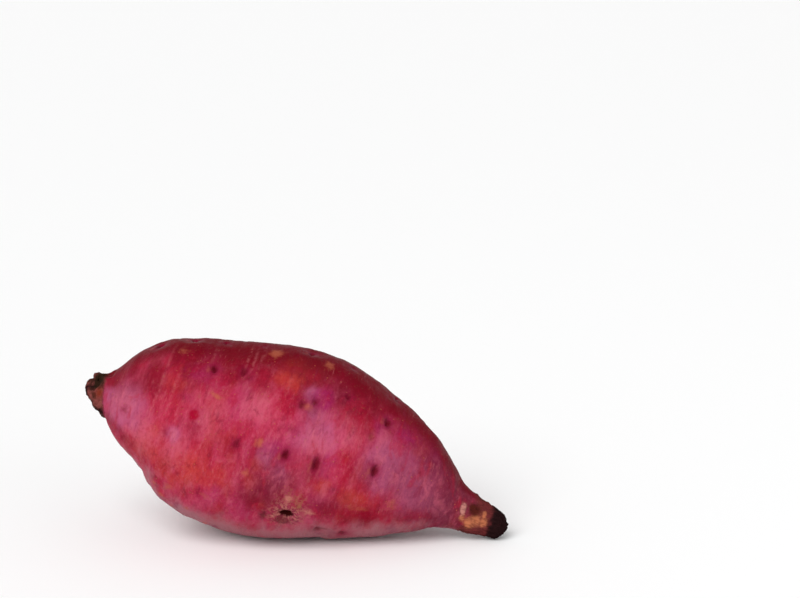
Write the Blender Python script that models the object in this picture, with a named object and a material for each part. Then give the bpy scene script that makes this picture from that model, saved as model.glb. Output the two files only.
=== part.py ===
"""Sweet potato: one whole storage root with purple-red skin, lying on its side.

The crown, where the vine was cut, is at -X and stands clear of the surface. The tail is at
+X and reaches down almost to the surface. The origin is on that surface, in the middle of
the root's length and width, with +Z up. All sizes are in metres.
"""

import math
from bisect import bisect_right

import bmesh
import bpy
from mathutils import Matrix, Vector

# The swollen body.
LENGTH = 0.160  # crown tip to tail tip, along the root's own axis
HEIGHT = 0.0706  # the thickest section, belly to back
WIDTH = 0.0742  # the thickest section, side to side

# The corky stub at the crown.
CROWN_LENGTH = 0.0078
CROWN_DIAMETER = 0.0164  # where the stub leaves the body
CROWN_TIP_DIAMETER = 0.0098
CROWN_ROUNDING = 0.0040  # length over which the stub's end rounds off

# The thin tail, with its broken end.
TAIL_LENGTH = 0.0185
TAIL_DIAMETER = 0.0165  # where the tail leaves the body
TAIL_TIP_DIAMETER = 0.0094
TAIL_ROUNDING = 0.0040

# Irregular growth.
ARCH = 0.0054  # how far the axis rises towards the back
SWAY = 0.0045  # how far the tail bends aside, towards -Y
RIDGE = 0.0007  # height of the broad ridges that run along the body
RIDGE_COUNT = 3
RIDGE_TWIST = math.radians(70)  # how far the ridges wind round from crown to tail
BULGE_LENGTH = 0.026  # reach of a bulge or hollow along the root
BULGE_SPREAD = math.radians(38)  # its reach round the root

# How it rests.
FLAT_DEPTH = 0.0004  # how much of the belly is pressed flat
TAIL_CLEARANCE = 0.0003  # the tail's height above the surface

# Shares of the body's swelling, by share of the way from the stub to the tail.
SWELLING = (
    (0.00, 0.00),
    (0.05, 0.27),
    (0.10, 0.49),
    (0.16, 0.65),
    (0.21, 0.785),
    (0.29, 0.90),
    (0.43, 1.00),
    (0.54, 0.965),
    (0.65, 0.84),
    (0.78, 0.62),
    (0.87, 0.395),
    (0.95, 0.145),
    (1.00, 0.00),
)
# Shares of ARCH and of SWAY, by share of the whole length from the crown.
ARCH_LINE = (
    (0.00, 0.18),
    (0.09, 0.62),
    (0.16, 0.80),
    (0.24, 0.28),
    (0.34, 0.24),
    (0.48, 0.66),
    (0.59, 0.98),
    (0.70, 0.80),
    (0.80, 0.62),
    (0.87, 0.12),
    (0.92, -0.20),
    (1.00, -0.48),
)
SWAY_LINE = ((0.00, 0.35), (0.35, -0.35), (0.65, -0.05), (1.00, 1.00))
# Bulges, and hollows where the height is negative: share of the whole length, degrees round
# from the back, height. The belly and the side at -Y grew evenly and have none.
BULGES = ((0.25, 100, 0.0024), (0.44, 62, -0.0012), (0.63, 118, 0.0020), (0.40, 150, 0.0008))

# Facets and precision of the model.
SIDES = 48
RINGS = 56
STEEPEST_LEAN = math.radians(60)  # the resting lean is looked for below this
HALVINGS = 40  # steps of that search
SNAP = 0.000001  # corners this near the resting surface count as on it
SHARP_EDGE = math.radians(40)

SKIN_COLOUR = (0.435, 0.066, 0.118, 1.0)
SKIN_ROUGHNESS = 0.48


def clear_scene():
    for thing in list(bpy.data.objects):
        bpy.data.objects.remove(thing, do_unlink=True)


def smooth_curve(points):
    """A function that reads a smooth curve through (place, value) points, level at both ends."""
    places = [place for place, _ in points]
    values = [value for _, value in points]
    slopes = [0.0] * len(points)
    for i in range(1, len(points) - 1):
        slopes[i] = (values[i + 1] - values[i - 1]) / (places[i + 1] - places[i - 1])

    def read(place):
        i = min(max(bisect_right(places, place) - 1, 0), len(places) - 2)
        gap = places[i + 1] - places[i]
        t = min(max((place - places[i]) / gap, 0.0), 1.0)
        ease = t * t * (3.0 - 2.0 * t)
        leave = slopes[i] * gap * t * (1.0 - t) ** 2
        arrive = slopes[i + 1] * gap * t * t * (1.0 - t)
        return values[i] + (values[i + 1] - values[i]) * ease + leave - arrive

    return read


swelling = smooth_curve(SWELLING)
arch_line = smooth_curve(ARCH_LINE)
sway_line = smooth_curve(SWAY_LINE)


def blend(a, b, share):
    share = min(max(share, 0.0), 1.0)
    return a + (b - a) * share


def body_share(along):
    """How far a place lies from the stub, 0, to the tail, 1."""
    return (along - CROWN_LENGTH) / (LENGTH - CROWN_LENGTH - TAIL_LENGTH)


def core_radius(along):
    """The radius of the stub, of the tail, and of a straight core between them."""
    if along < CROWN_LENGTH:
        return blend(CROWN_TIP_DIAMETER, CROWN_DIAMETER, along / CROWN_LENGTH) / 2
    tail_start = LENGTH - TAIL_LENGTH
    if along > tail_start:
        return blend(TAIL_DIAMETER, TAIL_TIP_DIAMETER, (along - tail_start) / TAIL_LENGTH) / 2
    return blend(CROWN_DIAMETER, TAIL_DIAMETER, body_share(along)) / 2


def end_rounding(from_end, rounding):
    """The share of the radius that is left at a place near an end rounded off over a length."""
    inside = min(max(from_end / rounding, 0.0), 1.0)
    return math.sqrt(1.0 - (1.0 - inside) ** 2)


def uneven_growth(along, around):
    """How far the ridges and bulges lift the skin there."""
    share = along / LENGTH
    lift = RIDGE * math.cos(RIDGE_COUNT * around + RIDGE_TWIST * share)
    for place, degrees, height in BULGES:
        beside = math.remainder(around - math.radians(degrees), 2 * math.pi) / BULGE_SPREAD
        before = (along - place * LENGTH) / BULGE_LENGTH
        lift += height * math.exp(-beside * beside - before * before)
    return lift


def skin_point(along, around):
    """A point of the skin: along from the crown tip, around from the back (0) by +Y."""
    share = along / LENGTH
    swollen = swelling(min(max(body_share(along), 0.0), 1.0))
    core = core_radius(along)
    lift = uneven_growth(along, around) * swollen
    ends = end_rounding(along, CROWN_ROUNDING) * end_rounding(LENGTH - along, TAIL_ROUNDING)
    up = (blend(core, HEIGHT / 2, swollen) + lift) * ends
    side = (blend(core, WIDTH / 2, swollen) + lift) * ends
    return Vector(
        (
            along,
            side * math.sin(around) - SWAY * sway_line(share),
            up * math.cos(around) + ARCH * arch_line(share),
        )
    )


def grow_root(mesh):
    """Draws a ball out into the root, its top pole becoming the crown."""
    bmesh.ops.create_uvsphere(mesh, u_segments=SIDES, v_segments=RINGS, radius=1.0)
    for vertex in mesh.verts:
        x, y, z = vertex.co
        vertex.co = skin_point(LENGTH * (1.0 - z) / 2, math.atan2(y, x))


def lowest(points, lean):
    """The lowest height among points once the root leans down towards its tail."""
    return min(p.z * math.cos(lean) - p.x * math.sin(lean) for p in points)


def resting_lean(points):
    """The lean at which the belly lies pressed flat and the tail just clears the surface."""
    belly = [p for p in points if p.x < LENGTH - TAIL_LENGTH]
    tail = [p for p in points if p.x >= LENGTH - TAIL_LENGTH]
    level, steep = 0.0, STEEPEST_LEAN
    for _ in range(HALVINGS):
        lean = (level + steep) / 2
        surface = lowest(belly, lean) + FLAT_DEPTH
        if lowest(tail, lean) - surface > TAIL_CLEARANCE:
            level = lean
        else:
            steep = lean
    return level


def lay_down(mesh):
    """Leans the root until it rests, and sets it over the origin."""
    lean = resting_lean([vertex.co.copy() for vertex in mesh.verts])
    mesh.transform(Matrix.Rotation(lean, 4, "Y"))
    corners = [vertex.co for vertex in mesh.verts]
    middle_x = (min(c.x for c in corners) + max(c.x for c in corners)) / 2
    middle_y = (min(c.y for c in corners) + max(c.y for c in corners)) / 2
    surface = min(c.z for c in corners) + FLAT_DEPTH
    mesh.transform(Matrix.Translation((-middle_x, -middle_y, -surface)))


def press_flat(mesh):
    """Takes off what would reach below the surface, and closes the belly with one flat face."""
    everything = mesh.verts[:] + mesh.edges[:] + mesh.faces[:]
    bmesh.ops.bisect_plane(
        mesh,
        geom=everything,
        dist=SNAP,
        plane_co=(0.0, 0.0, 0.0),
        plane_no=(0.0, 0.0, 1.0),
        clear_inner=True,
    )
    rim = [edge for edge in mesh.edges if edge.is_boundary]
    bmesh.ops.edgeloop_fill(mesh, edges=rim)
    bmesh.ops.recalc_face_normals(mesh, faces=mesh.faces[:])


def skin_material():
    material = bpy.data.materials.new("skin")
    material.use_nodes = True
    shader = material.node_tree.nodes["Principled BSDF"]
    shader.inputs["Base Color"].default_value = SKIN_COLOUR
    shader.inputs["Roughness"].default_value = SKIN_ROUGHNESS
    shader.inputs["Metallic"].default_value = 0.0
    material.diffuse_color = SKIN_COLOUR
    return material


def add_sweet_potato():
    shape = bmesh.new()
    grow_root(shape)
    lay_down(shape)
    press_flat(shape)
    mesh = bpy.data.meshes.new("sweet_potato")
    shape.to_mesh(mesh)
    shape.free()
    mesh.shade_smooth()
    mesh.set_sharp_from_angle(angle=SHARP_EDGE)
    mesh.materials.append(skin_material())
    root = bpy.data.objects.new("sweet_potato", mesh)
    bpy.context.scene.collection.objects.link(root)
    return root


clear_scene()
add_sweet_potato()
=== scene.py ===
# %% [markdown]
# A sweet potato, modelled and finished
#
# The object is one whole storage root with purple-red skin. It lies on its belly, with the
# corky crown, where the vine was cut, raised at one end and the thin broken tail low at the
# other. A plain model of it, the frame, settles its size and place. This script gives it its
# real surface: the eyes, scars, creases and patches that a root brings up from the soil.
# Some patches are painted light instead: painted shade and shadow over its top, a painted
# sheen on its near side and a painted reflection of the floor on its underside.
#
# The frame is loaded first, and its box is kept.

# %% Load the frame
import math
import random
import time

import bpy
import numpy as np
from mathutils import Matrix, Vector


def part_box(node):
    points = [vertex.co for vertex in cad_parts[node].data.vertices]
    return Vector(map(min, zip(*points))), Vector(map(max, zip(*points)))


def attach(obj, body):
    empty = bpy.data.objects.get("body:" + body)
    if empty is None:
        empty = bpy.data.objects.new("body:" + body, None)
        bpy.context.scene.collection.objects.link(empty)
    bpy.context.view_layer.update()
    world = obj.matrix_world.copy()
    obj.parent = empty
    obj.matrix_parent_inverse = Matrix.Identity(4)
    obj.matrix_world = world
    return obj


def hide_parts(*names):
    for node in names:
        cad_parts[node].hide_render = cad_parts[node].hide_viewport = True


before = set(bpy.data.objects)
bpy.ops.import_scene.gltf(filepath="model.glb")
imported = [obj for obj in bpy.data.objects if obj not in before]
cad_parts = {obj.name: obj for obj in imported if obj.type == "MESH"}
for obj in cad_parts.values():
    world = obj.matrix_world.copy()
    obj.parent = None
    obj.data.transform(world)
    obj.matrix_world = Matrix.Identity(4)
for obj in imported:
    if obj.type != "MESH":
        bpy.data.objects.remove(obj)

MM = 0.001  # metres in a millimetre
started = time.time()
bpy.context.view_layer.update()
root_low, root_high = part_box("sweet_potato")
root_middle = (root_low + root_high) / 2

# %% [markdown]
# ## Camera
#
# Food looks its best through a long lens from a short step away, seen slightly from above.
# A long lens keeps the root's proportions true. The camera stands a little towards the
# tail, and it is aimed above and to the right of the root, which leaves the root low in the
# picture.

# %% Camera
CAMERA_LENS = 100.0  # millimetres, on a 36 mm sensor
CAMERA_DISTANCE = 0.809
CAMERA_AZIMUTH = math.radians(5)
CAMERA_ELEVATION = math.radians(15)
AIM_RIGHT = 0.0379  # how far beside the root's middle the camera is aimed
AIM_UP = 0.0494


def add_camera():
    flat = math.cos(CAMERA_ELEVATION)
    back = Vector(
        (
            math.sin(CAMERA_AZIMUTH) * flat,
            -math.cos(CAMERA_AZIMUTH) * flat,
            math.sin(CAMERA_ELEVATION),
        )
    )
    right = Vector((math.cos(CAMERA_AZIMUTH), math.sin(CAMERA_AZIMUTH), 0.0))
    place = root_middle + back * CAMERA_DISTANCE
    target = root_middle + right * AIM_RIGHT + back.cross(right) * AIM_UP
    aim = (target - place).to_track_quat("-Z", "Y").to_euler()
    bpy.ops.object.camera_add(location=place, rotation=aim)
    camera = bpy.context.object
    camera.data.lens = CAMERA_LENS
    camera.data.sensor_width = 36.0
    camera.data.clip_start = 0.01
    bpy.context.scene.camera = camera
    return camera


bpy.ops.object.select_all(action="DESELECT")
camera = add_camera()
print("camera at", [round(x, 3) for x in camera.location])

# %% [markdown]
# ## Lights, surface and backdrop
#
# Produce is usually lit by one very broad soft light over the viewer's shoulder, with
# white surroundings that fill the shadows. A far light with a wide angle does this: it is
# as strong on the floor far away as near the root, so the floor stays evenly pale, and its
# shadows are soft. A second, smaller light lifts the side near the tail. The floor is one
# large pale sheet that fills the view, and the walls behind it glow as bright as it does,
# so that no horizon distracts from the root.

# %% Lights and floor
KEY_STRENGTH = 2.4
KEY_ANGLE = math.radians(45)  # how wide the light looks from the root
KEY_FROM = (-0.45, -1.0, 0.99)
FILL_SIZE = 0.8
FILL_POWER = 1.6
FILL_FROM = (0.8, -0.7, 0.35)
SKY_GLOW = 0.50  # overhead
WALL_GLOW = 1.0  # level with the root
WALL_TOP, SKY_START = 0.12, 0.45  # as the height of a unit direction
FLOOR_SIZE = 30.0
FLOOR_COLOUR = (0.93, 0.93, 0.93, 1.0)


def add_light(name, kind, place):
    """Adds a light at a place, aimed at the middle of the root."""
    aim = (root_middle - Vector(place)).to_track_quat("-Z", "Y").to_euler()
    bpy.ops.object.light_add(type=kind, location=place, rotation=aim)
    light = bpy.context.object
    light.name = name
    return light.data


def add_floor():
    bpy.ops.mesh.primitive_plane_add(size=FLOOR_SIZE, location=(0.0, 0.0, 0.0))
    floor = bpy.context.object
    floor.name = "floor"
    paper = bpy.data.materials.new("pale_paper")
    paper.use_nodes = True
    shader = paper.node_tree.nodes["Principled BSDF"]
    shader.inputs["Base Color"].default_value = FLOOR_COLOUR
    shader.inputs["Roughness"].default_value = 0.9
    floor.data.materials.append(paper)
    return floor


def set_world():
    """White walls all round that fade to a dimmer ceiling."""
    world = bpy.data.worlds.new("studio")
    world.use_nodes = True
    nodes, links = world.node_tree.nodes, world.node_tree.links
    direction = nodes.new("ShaderNodeTexCoord")
    height = nodes.new("ShaderNodeSeparateXYZ")
    fade = nodes.new("ShaderNodeMapRange")
    fade.interpolation_type = "SMOOTHSTEP"
    fade.inputs["From Min"].default_value = WALL_TOP
    fade.inputs["From Max"].default_value = SKY_START
    fade.inputs["To Min"].default_value = WALL_GLOW
    fade.inputs["To Max"].default_value = SKY_GLOW
    glow = nodes["Background"]
    glow.inputs["Color"].default_value = (1.0, 1.0, 1.0, 1.0)
    links.new(direction.outputs["Generated"], height.inputs[0])
    links.new(height.outputs["Z"], fade.inputs["Value"])
    links.new(fade.outputs[0], glow.inputs["Strength"])
    bpy.context.scene.world = world


key = add_light("key", "SUN", KEY_FROM)
key.energy = KEY_STRENGTH
key.angle = KEY_ANGLE
fill = add_light("fill", "AREA", FILL_FROM)
fill.size = FILL_SIZE
fill.energy = FILL_POWER
floor = add_floor()
set_world()
bpy.context.scene.view_settings.view_transform = "Standard"

# %% [markdown]
# ## The mould
#
# The frame's root is made of flat triangles. A smoothed copy of it serves as a mould: the
# new skin is wrapped on it and takes its exact size and place. The copy's loose triangles
# are merged and turned back into four-sided faces first, because those smooth more evenly.
# The mould is thrown away once the skin has its shape.

# %% The mould
bpy.ops.object.select_all(action="DESELECT")
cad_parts["sweet_potato"].select_set(True)
bpy.context.view_layer.objects.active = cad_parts["sweet_potato"]
bpy.ops.object.duplicate()
mould = bpy.context.object
mould.name = "mould"
bpy.ops.object.mode_set(mode="EDIT")
bpy.ops.mesh.select_all(action="SELECT")
bpy.ops.mesh.remove_doubles(threshold=0.01 * MM)
bpy.ops.mesh.tris_convert_to_quads()
bpy.ops.object.mode_set(mode="OBJECT")
smoother = mould.modifiers.new("smoother", "SUBSURF")
smoother.levels = smoother.render_levels = 2
bpy.ops.object.modifier_apply(modifier="smoother")
print("mould faces:", len(mould.data.polygons))

# %% [markdown]
# ## The root's own axis
#
# The root leans: its crown is high and its tail is low. Everything that grows on it, such
# as the rows of eyes, follows its own axis and not the horizon. So every place on the skin
# is given in the root's terms: a share of the way from crown to tail, and degrees round it,
# where 0 is the back, 90 the far side, 180 the belly and 270 the near side.

# %% The axis
END_SLICE = 5 * MM  # how much of each end is averaged to find its middle


def corners_of(thing):
    """All corners of a mesh, as rows of x, y, z."""
    flat = np.empty(len(thing.data.vertices) * 3)
    thing.data.vertices.foreach_get("co", flat)
    return flat.reshape(-1, 3)


mould_corners = corners_of(mould)
mould_x = mould_corners[:, 0]
crown_end = Vector(mould_corners[mould_x < mould_x.min() + END_SLICE].mean(0))
tail_end = Vector(mould_corners[mould_x > mould_x.max() - END_SLICE].mean(0))
to_tail = (tail_end - crown_end).normalized()
to_far = Vector((0.0, 0.0, 1.0)).cross(to_tail).normalized()
to_back = to_tail.cross(to_far)
crown = mould.ray_cast(crown_end, -to_tail)[1]
tail = mould.ray_cast(tail_end, to_tail)[1]
length = (tail - crown).length
lean = math.asin(-to_tail.z)
print("length, mm:", round(length / MM, 1), "lean, degrees:", round(math.degrees(lean), 1))

# %% [markdown]
# ## Drawing the skin out of a circle
#
# A long rounded form can be carved from a ball, but its faces would bunch up at the ends.
# Drawn out of a circle instead, ring by ring, the faces run evenly along the root, and they
# follow the direction in which its skin creases. The root is drawn standing on its crown.
# Each ring takes its middle and its size from the mould, where rays from the axis meet it.

# %% Measure the rings
RING_COUNT = 37
RING_SIDES = 40
END_CROWDING = 0.5  # how much closer the rings lie at the ends than in the middle
FIRST_RING = 0.006  # share of the length


def ring_places():
    """Shares of the length for the rings, closer together near the ends."""
    for step in range(RING_COUNT):
        even = FIRST_RING + (1.0 - 2.0 * FIRST_RING) * step / (RING_COUNT - 1)
        yield even - END_CROWDING * math.sin(2.0 * math.pi * even) / (2.0 * math.pi)


def reach(share, direction):
    """How far the mould's surface is from the axis, at a share of the length."""
    start = crown + to_tail * (share * length)
    found, place, _, _ = mould.ray_cast(start, direction)
    return (place - start).length


def measure_ring(share):
    """The middle and the two radii of a ring, for a root that stands on its crown."""
    back, belly = reach(share, to_back), reach(share, -to_back)
    far, near = reach(share, to_far), reach(share, -to_far)
    middle = Vector(((back - belly) / 2, (near - far) / 2, share * length))
    return middle, (back + belly) / 2, (far + near) / 2


rings = [measure_ring(share) for share in ring_places()]
print("widest ring, mm:", round(2 * max(ring[2] for ring in rings) / MM, 1))

# %% Draw the skin out, ring by ring
def close_end(middle):
    """Closes the selected ring with a fan of faces that meet at a middle point."""
    bpy.ops.mesh.extrude_region_move(
        TRANSFORM_OT_translate={"value": (0.0, 0.0, 0.0), "orient_type": "GLOBAL"}
    )
    bpy.ops.mesh.merge(type="CENTER")
    bpy.ops.transform.translate(value=middle, orient_type="GLOBAL")


def select_ring(thing, number):
    """Selects one ring of the drawn skin by its number."""
    bpy.ops.mesh.select_all(action="DESELECT")
    bpy.ops.object.mode_set(mode="OBJECT")
    first = number * RING_SIDES
    for vertex in thing.data.vertices[first : first + RING_SIDES]:
        vertex.select = True
    bpy.ops.object.mode_set(mode="EDIT")


def draw_out():
    middle, tall, wide = rings[0]
    bpy.ops.mesh.primitive_circle_add(vertices=RING_SIDES, radius=1.0, location=(0, 0, 0))
    skin = bpy.context.object
    bpy.ops.object.mode_set(mode="EDIT")
    bpy.ops.mesh.select_mode(type="VERT")
    bpy.ops.mesh.select_all(action="SELECT")
    bpy.ops.transform.resize(value=(tall, wide, 1.0), center_override=(0, 0, 0))
    bpy.ops.transform.translate(value=middle)
    for (last, last_tall, last_wide), (middle, tall, wide) in zip(rings, rings[1:]):
        step = {"value": middle - last, "orient_type": "GLOBAL"}
        bpy.ops.mesh.extrude_region_move(TRANSFORM_OT_translate=step)
        growth = (tall / last_tall, wide / last_wide, 1.0)
        bpy.ops.transform.resize(value=growth, center_override=middle)
    end_gap = FIRST_RING * length / 2
    close_end((0.0, 0.0, end_gap))
    select_ring(skin, 0)
    close_end((0.0, 0.0, -end_gap))
    bpy.ops.mesh.select_all(action="SELECT")
    bpy.ops.mesh.normals_make_consistent(inside=False)
    bpy.ops.object.mode_set(mode="OBJECT")
    return skin


bpy.ops.object.select_all(action="DESELECT")
skin = draw_out()
skin.name = "sweet_potato_skin"
print("drawn skin faces:", len(skin.data.polygons))

# %% [markdown]
# ## Laying the root down and wrapping it on the mould
#
# The drawn skin is turned from its crown onto its belly, along the measured axis, and the
# turn is applied, so that its object stays at the origin. Two rounds of subdivision give it
# enough faces to follow the mould, and a Shrinkwrap modifier sets each corner on it. One
# more round makes the faces about half a millimetre wide, which is fine enough for an eye's
# slit to be a real groove.

# %% Lay it down and wrap it
def finish_modifier(thing, name):
    """Applies a modifier by its name."""
    bpy.context.view_layer.objects.active = thing
    bpy.ops.object.modifier_apply(modifier=name)


def subdivide(thing, rounds):
    smoother = thing.modifiers.new("smoother", "SUBSURF")
    smoother.levels = smoother.render_levels = rounds
    finish_modifier(thing, "smoother")


lying = Matrix((to_back, -to_far, to_tail)).transposed().to_4x4()
lying.translation = crown
skin.matrix_world = lying
bpy.ops.object.transform_apply(location=True, rotation=True, scale=True)
subdivide(skin, 2)
wrap = skin.modifiers.new("wrap", "SHRINKWRAP")
wrap.target = mould
finish_modifier(skin, "wrap")
subdivide(skin, 1)
bpy.ops.object.shade_smooth()
bpy.data.objects.remove(mould, do_unlink=True)
print("skin faces:", len(skin.data.polygons))

# %% [markdown]
# ## Finding a place on the skin
#
# A helper gives every corner of the skin its place in the root's terms: how far along, and
# how far round. A patch is then a soft round or oval area about one such place. It is 1 in
# its middle and fades to 0 at its edge, and it serves both to select corners and, later, to
# paint with.

# %% Places on the skin
FULL_TURN = 360.0
ROWS_PER_RING = 8  # three rounds of subdivision


def skin_places():
    """For every corner: metres along, degrees round, and metres from the axis."""
    from_crown = corners_of(skin) - np.array(crown)
    along = from_crown @ np.array(to_tail)
    back = from_crown @ np.array(to_back)
    far = from_crown @ np.array(to_far)
    return along, np.degrees(np.arctan2(far, back)) % FULL_TURN, np.hypot(back, far)


along, around, girth = skin_places()


def offsets(share, degrees, tilt=0.0):
    """Metres across the root and along it from a place on the skin, turned by a tilt."""
    down = along - share * length
    half_turn = FULL_TURN / 2
    across = np.radians((around - degrees + half_turn) % FULL_TURN - half_turn) * girth
    turn = math.radians(tilt)
    return (
        across * math.cos(turn) + down * math.sin(turn),
        down * math.cos(turn) - across * math.sin(turn),
    )


def patch(share, degrees, across_mm, along_mm, tilt=0.0):
    """A soft oval about a place on the skin, from 1 in its middle to 0 far outside it."""
    across, down = offsets(share, degrees, tilt)
    return np.exp(-((across / (across_mm * MM)) ** 2) - (down / (along_mm * MM)) ** 2)


print("corner spacing, mm:", round(length / MM / (RING_COUNT * ROWS_PER_RING), 2))

# %% [markdown]
# ## Selecting by place
#
# Every dent and ridge is made as a sculptor would: some corners are picked, and they are
# pushed in or pulled out along the skin with proportional editing, so that the skin around
# them follows and fades out smoothly. Alt+S in Blender's edit mode does the same by hand,
# and G grabs and moves them.

# %% Push, pull and grab
def select_corners(chosen):
    """Selects exactly the corners of the skin for which the array is true."""
    bpy.ops.object.select_all(action="DESELECT")
    bpy.context.view_layer.objects.active = skin
    skin.select_set(True)
    bpy.ops.object.mode_set(mode="EDIT")
    bpy.ops.mesh.select_mode(type="VERT")
    bpy.ops.mesh.select_all(action="DESELECT")
    bpy.ops.object.mode_set(mode="OBJECT")
    skin.data.vertices.foreach_set("select", chosen)
    bpy.ops.object.mode_set(mode="EDIT")


def reach_out(reach_mm, falloff):
    """The proportional editing that the push, pull and grab share."""
    return {
        "use_proportional_edit": True,
        "proportional_size": reach_mm * MM,
        "proportional_edit_falloff": falloff,
    }


def swell(chosen, height_mm, reach_mm, falloff="SMOOTH"):
    """Lifts the chosen corners along the skin; the skin within reach follows."""
    select_corners(chosen)
    bpy.ops.transform.shrink_fatten(value=height_mm * MM, **reach_out(reach_mm, falloff))
    bpy.ops.object.mode_set(mode="OBJECT")


def grab(chosen, move_mm, reach_mm, falloff="SMOOTH"):
    """Moves the chosen corners; the skin within reach follows."""
    select_corners(chosen)
    move = Vector(move_mm) * MM
    bpy.ops.transform.translate(value=move, **reach_out(reach_mm, falloff))
    bpy.ops.object.mode_set(mode="OBJECT")


def near(share, degrees, across_mm, along_mm, tilt=0.0, arch=0.0):
    """Corners within an oval about a place; arch bends it into a smile."""
    across, down = offsets(share, degrees, tilt)
    down = down - arch * across**2
    return (across / (across_mm * MM)) ** 2 + (down / (along_mm * MM)) ** 2 < 1.0


def any_of(selections):
    """Joins several selections into one."""
    return np.logical_or.reduce(list(selections))


# %% [markdown]
# ## The stance of the crown and the tail
#
# The ends are what gives a root its character. The crown is grabbed and lifted a little.
# A few broad swells then fill the shoulder below it and the back, and hollows thin the tail
# from above, so that it runs out straight.

# %% Shape the ends
CROWN_SHARE = 0.04  # share of the length that is grabbed
CROWN_LIFT_MM = 1.7
CROWN_REACH_MM = 45.0
# Each swell: share of the length, degrees round, mm across, mm along, height, reach in mm.
SWELLS = (
    (0.22, 205, 6.0, 5.0, 0.4, 20.0),
    (0.165, 221, 3.0, 3.0, -1.0, 12.0),
    (0.215, 214, 3.0, 3.0, 0.5, 8.0),
    (0.50, 358, 5.0, 5.0, 0.7, 18.0),
    (0.745, 352, 4.0, 4.0, 0.9, 14.0),
    (0.93, 350, 4.0, 6.0, -0.9, 13.0),
    (0.885, 190, 3.0, 3.0, 0.6, 9.0),
)
grab(along < CROWN_SHARE * length, (0.0, 0.0, CROWN_LIFT_MM), CROWN_REACH_MM)
for share, degrees, across_mm, along_mm, height_mm, reach_mm in SWELLS:
    swell(near(share, degrees, across_mm, along_mm), height_mm, reach_mm)
along, around, girth = skin_places()
print("ends shaped, mm:", [round(s / MM, 1) for s in skin.dimensions])

# %% [markdown]
# ## Uneven growth
#
# No root is perfectly smooth. It swells unevenly as it pushes through the soil, and its
# skin creases across its length, like a bellows. Both come from a Displace modifier with a
# cloud texture. The texture reads its place from an empty that lies along the root: where
# the empty is stretched, the pattern is drawn out in that direction. The empty is removed
# once the modifier is applied.

# %% Lumps and creases
WEIGHT_STEPS = 10


def weight_group(name, weights):
    """Keeps a weight for every corner, in a few steps, for a modifier to read."""
    group = skin.vertex_groups.new(name=name)
    for level in range(1, WEIGHT_STEPS + 1):
        chosen = np.flatnonzero(np.ceil(weights * WEIGHT_STEPS) == level)
        group.add([int(i) for i in chosen], level / WEIGHT_STEPS, "REPLACE")


def ruffle(name, size_mm, height_mm, weights, stretch=(1.0, 1.0, 1.0), detail=2):
    """Displaces the skin by clouds of a size, drawn out across the root or along it."""
    weight_group(name, weights)
    clouds = bpy.data.textures.new(name, type="CLOUDS")
    clouds.noise_scale = size_mm * MM
    clouds.noise_depth = detail
    guide = bpy.data.objects.new(name + "_guide", None)
    bpy.context.scene.collection.objects.link(guide)
    guide.matrix_world = lying @ Matrix.Diagonal((*stretch, 1.0))
    bpy.context.view_layer.update()
    relief = skin.modifiers.new(name, "DISPLACE")
    relief.texture = clouds
    relief.texture_coords = "OBJECT"
    relief.texture_coords_object = guide
    relief.strength = height_mm * MM
    relief.mid_level = 0.5
    relief.vertex_group = name
    finish_modifier(skin, name)
    skin.vertex_groups.clear()
    bpy.data.objects.remove(guide, do_unlink=True)


def ramp(values, start, end):
    """0 below the start, 1 above the end and a smooth rise between; or the reverse."""
    t = np.clip((values - start) / (end - start), 0.0, 1.0)
    return t * t * (3.0 - 2.0 * t)


AROUND = 6.0  # creases are this many times as long round the root as they are wide
BODY_START = (0.05, 0.12)  # shares of the length between which the lumps fade in
BODY_END = (0.93, 0.86)  # and, from the tail, between which they fade in there
body_weight = ramp(along / length, *BODY_START) * ramp(along / length, *BODY_END)
ruffle("lumps", 22.0, 1.5, body_weight)
ruffle("knuckles", 9.0, 0.7, body_weight, (2.0, 2.0, 1.0))
ruffle("creases", 2.6, 0.40, body_weight, (AROUND, AROUND, 1.0))
ruffle("pimples", 1.1, 0.10, body_weight)
print("skin after growth, mm:", [round(s / MM, 1) for s in skin.dimensions])

# %% [markdown]
# ## Eyes
#
# An eye is the scar that a side root left. The skin is drawn in around it, a short slit
# runs across the root, and above the slit the skin forms a low brow. The eyes sit in loose
# rows from crown to tail. Those on the near side are placed one by one, the others along
# their rows, with some spread.

# %% Place the eyes
# Each eye: share of the length, degrees round, half the slit's length in mm, depth 0 to 1.
NEAR_EYES = (
    (0.27, 333, 1.5, 1.0),
    (0.335, 334, 2.3, 0.7),
    (0.35, 331, 1.8, 0.4),
    (0.21, 278, 1.9, 0.4),
    (0.105, 285, 1.1, 0.4),
    (0.37, 286, 2.0, 0.7),
    (0.477, 288, 1.9, 1.0),
    (0.547, 288, 2.6, 1.0),
    (0.673, 297, 2.0, 1.0),
    (0.67, 335, 1.6, 1.0),
    (0.57, 336, 1.5, 0.7),
    (0.48, 321, 1.8, 0.7),
    (0.505, 325, 1.5, 0.7),
    (0.47, 240, 2.0, 0.7),
    (0.59, 228, 1.8, 0.7),
    (0.60, 274, 1.2, 0.4),
    (0.45, 261, 1.3, 0.4),
    (0.475, 304, 1.0, 0.4),
    (0.645, 318, 1.5, 0.4),
    (0.645, 223, 1.6, 0.7),
)
HIDDEN_ROWS = (8, 52, 97, 142, 187)  # degrees round
ROW_TURN = 14.0  # degrees that a row winds from crown to tail
FIRST_EYE, LAST_EYE = 0.13, 0.84
EYE_GAP = 0.085  # share of the length
EYE_DEPTHS = (0.4, 0.7, 1.0)


def hidden_eyes(dice):
    """Eyes along the rows that the near side doesn't show."""
    for number, degrees in enumerate(HIDDEN_ROWS):
        share = FIRST_EYE + EYE_GAP * (number % 2) / 2
        while share < LAST_EYE:
            turned = degrees + ROW_TURN * (share - 0.5) + dice.uniform(-7, 7)
            yield (share, turned, dice.uniform(1.0, 2.6), dice.choice(EYE_DEPTHS))
            share += EYE_GAP * dice.uniform(0.8, 1.35)


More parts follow.
